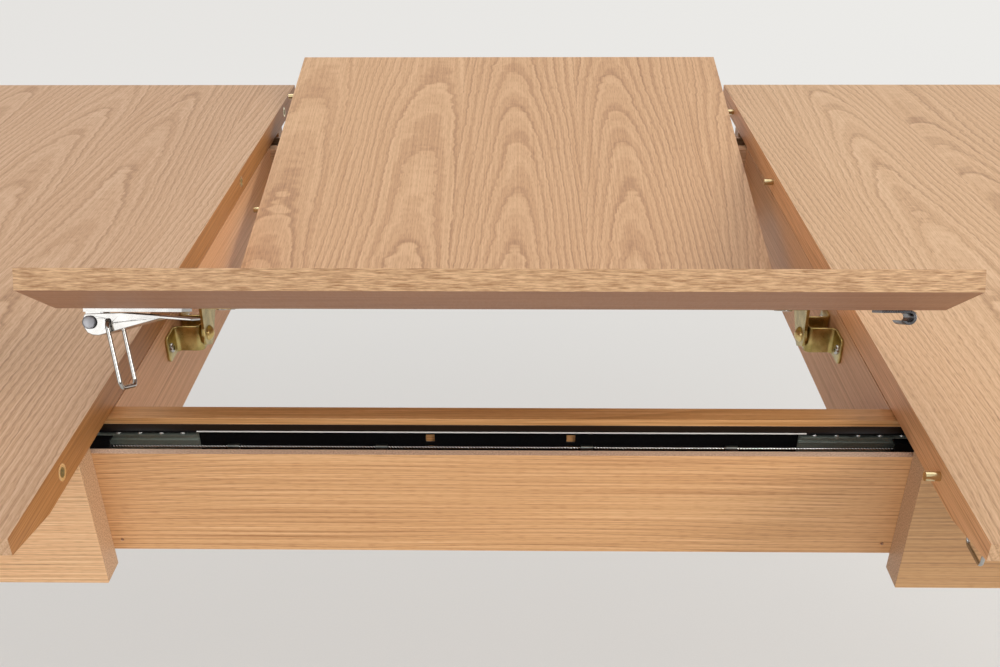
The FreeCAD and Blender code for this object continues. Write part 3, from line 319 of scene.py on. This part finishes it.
def caged_balls(name, middle):
    """Grey passivated steel strip with polished bearing balls 3.6 mm wide, 14.5 mm apart, in its two flanges.
    A point within a ball's radius of a ball's middle is polished; the rest is strip. Places are measured from
    the cage's middle, then from its outermost ball, then from the nearest one."""
    made, tree = new_material(name)
    place = add(tree, "TexCoord").outputs["Object"]
    near = add(tree, "VectorMath", (place, (middle, 0.0, 700.5 * MM)), operation="SUBTRACT")
    near = add(tree, "VectorMath", (near,), operation="ABSOLUTE")
    near = add(tree, "VectorMath", (near, (85.6 * MM, 296.5 * MM, 19.2 * MM)), operation="SUBTRACT")
    half_step = Vector((7.25 * MM, 1.0, 1.0))
    near = add(tree, "VectorMath", (near, half_step, -half_step), operation="WRAP")
    near = add(tree, "VectorMath", (near,), operation="LENGTH").outputs["Value"]
    ball = add(tree, "Math", (near, 1.86 * MM), operation="LESS_THAN")
    grain = add(tree, "TexNoise", {"Vector": place, "Scale": 1 / (0.8 * MM), "Detail": 3.0})
    strip = add(tree, "ValToRGB", (grain,), stops=((0.3, "8F9A91"), (0.7, "B4BEB5")))
    tint = add(tree, "Mix", {"Factor": ball, 6: strip, 7: linear("F4F4F2")}, data_type="RGBA").outputs[2]
    rough = add(tree, "MapRange", {"Value": ball, "To Min": 0.34, "To Max": 0.12})
    shader = add(tree, "BsdfPrincipled", {"Base Color": tint, "Metallic": 0.55, "Roughness": rough})
    add(tree, "OutputMaterial", (shader,))
    return made


def stranded(name):
    """Bright drawn steel wires laid up as a rope: slanting strands every 1.6 mm, with a painted highlight on
    each strand's back and painted shade in the grooves.
    """
    made, tree = new_material(name)
    place = add(tree, "TexCoord").outputs["Object"]
    slant = add(tree, "Mapping", {"Vector": place, "Rotation": (0.0, math.radians(38), 0.0)})
    strand = add(tree, "TexWave", {"Vector": slant, "Scale": WAVE / (1.6 * MM)}, wave_type="BANDS",
                 bands_direction="X", wave_profile="SIN")
    # Painted highlight on the strands' backs, painted shade in the grooves between them.
    tint = add(tree, "ValToRGB", (strand.outputs["Fac"],), stops=((0.15, "5A5A58"), (0.7, "F0EFEC")))
    lift = add(tree, "Bump", {"Height": strand.outputs["Fac"], "Strength": 0.8, "Distance": 0.25 * MM})
    shader = add(tree, "BsdfPrincipled", {"Base Color": tint, "Metallic": 1.0, "Roughness": 0.24,
                                          "Normal": lift})
    add(tree, "OutputMaterial", (shader,))
    return made


nickel = plated("bright_nickel_plate", "BAB8B4", "ADABA7", 0.09, 0.17)
# Nickel for the keepers, painted darker than the bright plate.
dark_nickel = plated("darker_nickel_plate", "76777A", "5E5F62", 0.20, 0.34)
# Steel for the latch rivet heads, painted a darker grey than bare steel: a painted reflection of the dark
# room their domes mirror.
shaded_rivet_steel = plated("steel_rivet_painted_dark", "A9A9AC", "919194", 0.38, 0.48)
turned_brass = plated("turned_brass", "D6C59C", "BDA97E", 0.14, 0.24)
# Painted highlight: the socket linings are painted near white and only partly metallic, so they read bright
# round their dark holes.
socket_brass_highlight = plated("brass_lining_painted_bright", "FBEFC8", "E6D29C", 0.12, 0.22, metallic=0.7)
tumbled_brass = plated("tumbled_brass", "E2CC92", "D0B676", 0.28, 0.38)
olive_brass = plated("brassed_pressed_steel", "C2AE72", "9C8A52", 0.24, 0.38)
rolled_steel = plated("bright_rolled_steel", "9AA09C", "7C8280", 0.26, 0.40)
black_coat = coated("black_coated_steel", "0D0D0E", "1D1D1F")
# The channel's worn edges are painted highlights on its cut edge and along its bend.
channel_coat = coated("black_coated_channel_steel", "0D0D0E", "1D1D1F", worn=True)

by_slot = {"nickel_plate": nickel, "brass": turned_brass, "yellow_zinc": olive_brass, "steel": rolled_steel,
           "black_steel": black_coat}
finishes = {row["node"]: by_slot.get(row["material_slot"]) for row in frame["record"]["subparts"]}
finishes.update(woods)
finishes["wire_ropes"] = stranded("stranded_steel_rope")
finishes["front_slide_channel"] = finishes["rear_slide_channel"] = channel_coat
for name in ("left_top_sockets", "near_leaf_sockets", "far_leaf_sockets"):
    finishes[name] = socket_brass_highlight
finishes["leaf_keeper"] = finishes["left_top_keeper"] = dark_nickel
for side, middle in CAGE_MIDDLES.items():
    cage = caged_balls("ball_cage_steel_" + side, middle)
    finishes[side + "_front_ball_cage"] = finishes[side + "_rear_ball_cage"] = cage
for name, obj in frame["nodes"].items():
    obj.data.materials.clear()
    obj.data.materials.append(finishes[name])


# ---------------------------------------------------------------- eased edges on the carried-over pieces
def ease(name, width):
    obj = frame["nodes"][name]
    weld = obj.modifiers.new("weld", "WELD")
    weld.merge_threshold = 0.01 * MM
    bevel = obj.modifiers.new("ease", "BEVEL")
    bevel.width = width
    bevel.segments = 2
    bevel.limit_method = "ANGLE"
    bevel.angle_limit = math.radians(35)


for name in woods:
    ease(name, 0.6 * MM)
for name in ("front_slide_channel", "rear_slide_channel", "left_latch_lever", "right_latch_lever",
             "left_latch_base", "right_latch_base", "leaf_keeper", "left_top_keeper", "pivot_arms"):
    ease(name, 0.35 * MM)


# ---------------------------------------------------------------- modelling helpers
def begin(kind, name, **shape):
    """Start a piece from a primitive at its place, ready in edit mode with world coordinates."""
    bpy.ops.object.select_all(action="DESELECT")
    getattr(bpy.ops.mesh, "primitive_" + kind + "_add")(**shape)
    piece = bpy.context.object
    piece.name = name
    bpy.ops.object.transform_apply()
    bpy.ops.object.mode_set(mode="EDIT")
    return piece


def pick(piece, mode, test):
    """Select the vertices, edges or faces whose corners all pass a test."""
    bpy.ops.mesh.select_mode(type=mode)
    bpy.ops.mesh.select_all(action="DESELECT")
    shape = bmesh.from_edit_mesh(piece.data)
    for item in {"VERT": shape.verts, "EDGE": shape.edges, "FACE": shape.faces}[mode]:
        corners = [item] if mode == "VERT" else item.verts
        if all(test(corner.co) for corner in corners):
            item.select_set(True)
    bmesh.update_edit_mesh(piece.data)


def extrude(x, y, z):
    bpy.ops.mesh.extrude_region_move(TRANSFORM_OT_translate={"value": (x, y, z)})


def apply(piece, kind, **settings):
    """Add a modifier and apply it."""
    modifier = piece.modifiers.new(kind.lower(), kind)
    for name, value in settings.items():
        setattr(modifier, name, value)
    bpy.context.view_layer.objects.active = piece
    bpy.ops.object.modifier_apply(modifier=modifier.name)


def copied(piece, matrix):
    """Copy with its own mesh, set at another place."""
    twin = piece.copy()
    twin.data = piece.data.copy()
    twin.data.transform(matrix)
    bpy.context.scene.collection.objects.link(twin)
    return twin


def join(name, pieces):
    bpy.ops.object.select_all(action="DESELECT")
    for piece in pieces:
        piece.select_set(True)
    bpy.context.view_layer.objects.active = pieces[0]
    bpy.ops.object.join()
    joined = bpy.context.object
    joined.name = name
    return joined


def dress(piece, material, body, node=None, angle=40):
    """Finish a piece: smooth shading, its material, the body it rides on and any node it stands for."""
    bpy.ops.object.select_all(action="DESELECT")
    piece.select_set(True)
    bpy.context.view_layer.objects.active = piece
    bpy.ops.object.shade_smooth_by_angle(angle=math.radians(angle))
    piece.data.materials.clear()
    piece.data.materials.append(material)
    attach(piece, body)
    if node:
        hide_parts(node)
    bpy.ops.object.select_all(action="DESELECT")


# ---------------------------------------------------------------- hat-shaped pivot brackets
def pivot_brackets():
    """Strip 2 mm thick, bent four times round a 3 mm radius: foot, wall, crown, wall, foot."""
    high = 21.5 * MM
    foot = 23.0 * MM
    half = 10.0 * MM
    stand = RAIL_FACE - 1.0 * MM - CROWN_MIDDLE
    strip = begin("plane", "bracket", size=1.0, rotation=(0, math.radians(90), 0))
    bpy.ops.transform.resize(value=(1, foot, high), center_override=(0, 0, 0))
    bpy.ops.transform.translate(value=(-CROWN_MIDDLE - stand, PIVOT_Y - half - foot / 2, PIVOT_Z))
    pick(strip, "EDGE", lambda co: co.y > PIVOT_Y - half - 0.1 * MM)
    extrude(stand, 0, 0)
    extrude(0, 2 * half, 0)
    extrude(-stand, 0, 0)
    extrude(0, foot, 0)
    pick(strip, "EDGE", lambda co: abs(abs(co.y - PIVOT_Y) - half) < 0.1 * MM)
    shape = bmesh.from_edit_mesh(strip.data)
    for edge in shape.edges:
        edge.select_set(edge.select and abs(edge.verts[0].co.z - edge.verts[1].co.z) > high / 2)
    bmesh.update_edit_mesh(strip.data)
    bpy.ops.mesh.bevel(offset=4.2 * MM, segments=7)
    pick(strip, "VERT", lambda co: abs(co.y - PIVOT_Y) > half + foot - 0.1 * MM)
    bpy.ops.mesh.bevel(offset=5.0 * MM, segments=6, affect="VERTICES")
    bpy.ops.object.mode_set(mode="OBJECT")
    apply(strip, "SOLIDIFY", thickness=2.0 * MM, offset=0.0)
    apply(strip, "BEVEL", width=0.4 * MM, segments=2, limit_method="ANGLE", angle_limit=math.radians(50))
    twin = copied(strip, Matrix.Scale(-1, 4, (1, 0, 0)))
    pair = join("pivot_brackets_bent", [strip, twin])
    bpy.ops.object.mode_set(mode="EDIT")
    bpy.ops.mesh.select_all(action="SELECT")
    bpy.ops.mesh.normals_make_consistent(inside=False)
    bpy.ops.object.mode_set(mode="OBJECT")
    dress(pair, olive_brass, "centre_frame", node="pivot_brackets", angle=32)


# ---------------------------------------------------------------- pan-head screws with a cross recess
def screws():
    """Four heads on the feet of the brackets, four lower ones on the arm plates."""
    foot_offset, arm_offset, arm_down = 26.0 * MM, 14.0 * MM, 19.1 * MM
    head = begin("cylinder", "screw", vertices=40, radius=3.9 * MM, depth=2.3 * MM,
                 location=(0, 0, 1.15 * MM))
    pick(head, "EDGE", lambda co: co.z > 2.2 * MM)
    bpy.ops.mesh.bevel(offset=1.3 * MM, segments=5)
    bpy.ops.object.mode_set(mode="OBJECT")
    for turn in (0, 90):
        slot = begin("cube", "slot", size=1.0)
        bpy.ops.transform.resize(value=(4.4 * MM, 1.0 * MM, 2.6 * MM), center_override=(0, 0, 0))
        bpy.ops.transform.translate(value=(0, 0, 2.4 * MM))
        bpy.ops.object.mode_set(mode="OBJECT")
        slot.data.transform(Matrix.Rotation(math.radians(turn + 20), 4, "Z"))
        apply(head, "BOOLEAN", object=slot, operation="DIFFERENCE", solver="EXACT")
        bpy.data.objects.remove(slot)

    feet = []
    for way in (-1, 1):
        turn = Matrix.Rotation(-way * math.radians(90), 4, "Y")
        for offset in (-foot_offset, foot_offset):
            at = (way * (RAIL_FACE - 2.0 * MM), PIVOT_Y + offset, PIVOT_Z)
            feet.append(copied(head, Matrix.Translation(at) @ turn))
    dress(join("bracket_pan_screws", feet), nickel, "centre_frame", node="bracket_screws",
          angle=32)

    flanges = []
    lean = Matrix.Rotation(math.radians(180) - NEAR_TILT, 4, "X")
    for way in (-1, 1):
        for offset in (-arm_offset, arm_offset):
            at = (way * ARM_SCREW_X,
                  PIVOT_Y + offset * math.cos(NEAR_TILT) + arm_down * math.sin(NEAR_TILT),
                  PIVOT_Z - offset * math.sin(NEAR_TILT) + arm_down * math.cos(NEAR_TILT))
            flanges.append(copied(head, Matrix.Translation(at) @ lean @ Matrix.Scale(0.35, 4, (0, 0, 1))))
    dress(join("arm_pan_screws", flanges), nickel, "leaf_near", node="arm_screws", angle=32)
    bpy.data.objects.remove(head)


# ---------------------------------------------------------------- domed pivot rivets
def pivot_rivets():
    """Dome 12.5 mm wide that stands 4 mm proud, and a shank of one width that runs on behind the bracket's
    crown.
    """
    radius = 6.88 * MM
    dome = begin("uv_sphere", "dome", segments=48, ring_count=32, radius=radius,
                 location=(0, 0, 4.0 * MM - radius))
    bpy.ops.mesh.select_all(action="SELECT")
    bpy.ops.mesh.bisect(plane_co=(0, 0, 0), plane_no=(0, 0, 1), use_fill=True, clear_inner=True)
    pick(dome, "FACE", lambda co: co.z < 0.01 * MM)
    bpy.ops.mesh.inset(thickness=3.25 * MM)
    extrude(0, 0, -5.2 * MM)
    extrude(0, 0, -2.0 * MM)
    bpy.ops.object.mode_set(mode="OBJECT")
    pair = []
    for way in (-1, 1):
        turn = Matrix.Rotation(-way * math.radians(90), 4, "Y")
        pair.append(copied(dome, Matrix.Translation((way * ARM_FACE, PIVOT_Y, PIVOT_Z)) @ turn))
    bpy.data.objects.remove(dome)
    dress(join("pivot_rivets_domed", pair), tumbled_brass, "leaf_near", node="pivot_rivets")


# ---------------------------------------------------------------- rivet heads of the toggle latches
def in_near_leaf(x, y, z):
    """A point of the near half, from its fold edge and top face, as it stands at rest."""
    out, down = y - PIVOT_Y, z + TOP - PIVOT_Z
    return Vector((x, PIVOT_Y + out * math.cos(NEAR_TILT) + down * math.sin(NEAR_TILT),
                   PIVOT_Z - out * math.sin(NEAR_TILT) + down * math.cos(NEAR_TILT)))


def latch_rivets():
    """Grey pan-shaped crowns 7.2 mm wide over the rivet heads at both sides of each lever's pivot."""
    radius = 19.6 * MM
    dome = begin("uv_sphere", "dome", segments=48, ring_count=96, radius=radius,
                 location=(0, 0, 0.33 * MM - radius))
    bpy.ops.mesh.select_all(action="SELECT")
    bpy.ops.mesh.bisect(plane_co=(0, 0, 0), plane_no=(0, 0, 1), use_fill=True, clear_inner=True)
    pick(dome, "FACE", lambda co: co.z < 0.01 * MM)
    extrude(0, 0, -1.1 * MM)
    pick(dome, "EDGE", lambda co: abs(co.z) < 0.01 * MM)
    bpy.ops.mesh.bevel(offset=0.6 * MM, segments=4)
    bpy.ops.object.mode_set(mode="OBJECT")
    rivet_z, crown_face = -28.9 * MM, 10.42 * MM
    for name, body, lean, x, middle in (
            ("left", "leaf_near", Matrix.Rotation(-NEAR_TILT, 4, "X"), -231.5 * MM, -383.0 * MM),
            ("right", "right_half", Matrix.Identity(4), 285.2 * MM, -376.0 * MM)):
        pair = []
        for way in (-1, 1):
            y = middle + way * crown_face
            at = in_near_leaf(x, y, rivet_z) if name == "left" else Vector((x, y, rivet_z + TOP))
            pair.append(copied(dome, Matrix.Translation(at) @ lean
                               @ Matrix.Rotation(math.radians(-90 * way), 4, "X")))
        dress(join(name + "_latch_rivet_heads", pair), shaded_rivet_steel, body)
    bpy.data.objects.remove(dome)


# ---------------------------------------------------------------- bends pressed into the ball cages
def cage_bends():
    """Half-round beads along each cage's web, one below its upper balls and one above its lower balls."""
    for side, middle in CAGE_MIDDLES.items():
        for place, way in (("front", -1), ("rear", 1)):
            beads = []
            for high in (712.4 * MM, 688.6 * MM):
                bead = begin("cube", "bead", size=1.0)
                bpy.ops.transform.resize(value=(189.4 * MM, 1.2 * MM, 1.6 * MM), center_override=(0, 0, 0))
                bpy.ops.transform.translate(value=(middle, way * 293.9 * MM, high))
                pick(bead, "EDGE", lambda co: abs(co.y) > 294 * MM)
                bpy.ops.mesh.bevel(offset=0.6 * MM, segments=4)
                bpy.ops.object.mode_set(mode="OBJECT")
                beads.append(bead)
            dress(join(side + "_" + place + "_cage_bends", beads), finishes[side + "_front_ball_cage"],
                  side + "_" + place + "_cage")


pivot_brackets()
screws()
pivot_rivets()
latch_rivets()
cage_bends()


# ---------------------------------------------------------------- floor, backdrop and light
def stage_material():
    """Matt studio paper: it takes part of the shadow near the table and glows to the eye, fully far behind
    it; the glow is painted a little brighter toward the right.
    """
    made, tree = new_material("matt_studio_paper")
    place = add(tree, "TexCoord").outputs["Object"]
    path = add(tree, "LightPath").outputs
    seen = add(tree, "Math", (path["Is Camera Ray"], path["Is Glossy Ray"]), operation="MAXIMUM")
    seen = add(tree, "Math", (seen, path["Is Transmission Ray"]), operation="MAXIMUM")
    tooth = add(tree, "TexNoise", {"Vector": place, "Scale": 400.0, "Detail": 2.0})
    tint = add(tree, "ValToRGB", (tooth,), stops=((0.2, "DEDAD5"), (0.8, "E4E1DC")))
    paper = add(tree, "BsdfPrincipled", {"Base Color": tint, "Roughness": 0.9})
    split = add(tree, "SeparateXYZ", (place,))
    # Painted light: the glow grows a little brighter toward the right, the key lamp's side.
    width = add(tree, "MapRange", {"Value": split.outputs[X], "From Min": -2.5, "From Max": 2.5})
    glow = add(tree, "ValToRGB", (width,), stops=((0.0, "E5E3E0"), (1.0, "EDECE9")))
    glow = add(tree, "Emission", {"Color": glow.outputs["Color"], "Strength": 1.0})
    far = add(tree, "MapRange", {"Value": split.outputs[Y], "From Min": 0.9, "From Max": 2.4, "To Min": 0.58})
    far = add(tree, "Math", (far, seen), operation="MULTIPLY")
    mixed = add(tree, "MixShader", (far, paper, glow))
    add(tree, "OutputMaterial", (mixed,))
    return made


def make_stage():
    floor = begin("plane", "studio_floor", size=1.0)
    bpy.ops.transform.resize(value=(24.0, 17.5, 1.0), center_override=(0, 0, 0))
    bpy.ops.transform.translate(value=(0, -3.25, 0))
    pick(floor, "EDGE", lambda co: co.y > 5)
    extrude(0, 0, 6.0)
    bpy.ops.object.mode_set(mode="OBJECT")
    apply(floor, "BEVEL", width=1.5, segments=16, limit_method="ANGLE")
    floor.data.materials.append(stage_material())
    bpy.ops.object.shade_smooth()
    bpy.ops.object.select_all(action="DESELECT")


def softbox(name, at, target, size, power, colour="FFFFFF"):
    data = bpy.data.lights.new(name, "AREA")
    data.shape = "RECTANGLE"
    data.size, data.size_y = size
    data.energy = power
    data.color = linear(colour)[:3]
    lamp = bpy.data.objects.new(name, data)
    bpy.context.scene.collection.objects.link(lamp)
    aim = (Vector(target) - Vector(at)).to_track_quat("-Z", "Y").to_matrix().to_4x4()
    lamp.matrix_world = Matrix.Translation(at) @ aim


def make_world():
    world = bpy.data.worlds.new("studio_air")
    bpy.context.scene.world = world
    world.use_nodes = True
    tree = world.node_tree
    tree.nodes.clear()
    path = add(tree, "LightPath").outputs
    seen = add(tree, "Math", (path["Is Camera Ray"], path["Is Transmission Ray"]), operation="MAXIMUM")
    light = add(tree, "Background", {"Color": linear("F4F5F7"), "Strength": 0.5})
    shown = add(tree, "Background", {"Color": linear("EAE8E5"), "Strength": 1.0})
    # what polished metal mirrors: white paper below, a dark band of room at eye height, white light above
    around = add(tree, "TexCoord").outputs["Generated"]
    height = add(tree, "SeparateXYZ", (around,)).outputs[Z]
    height = add(tree, "MapRange", {"Value": height, "From Min": -1.0})
    bands = add(tree, "ValToRGB", (height,), stops=((0.44, "EAE8E5"), (0.50, "2E2C2A"), (0.60, "5C5A58"),
                                                    (0.76, "FFFFFF")))
    mirrored = add(tree, "Background", {"Color": bands, "Strength": 1.0})
    mix = add(tree, "MixShader", (path["Is Glossy Ray"], light, mirrored))
    mix = add(tree, "MixShader", (seen, mix, shown))
    add(tree, "OutputWorld", (mix,))


make_stage()
make_world()
softbox("window_right", (2.4, -1.6, 2.1), (0, -0.1, 0.65), (1.8, 1.4), 62, "FFFCF6")
softbox("overhead", (0.0, 0.8, 3.2), (0, 0, 0.7), (3.0, 2.2), 26)
softbox("fill_front_left", (-1.5, -2.6, 1.3), (0, -0.1, 0.65), (2.0, 1.4), 16)
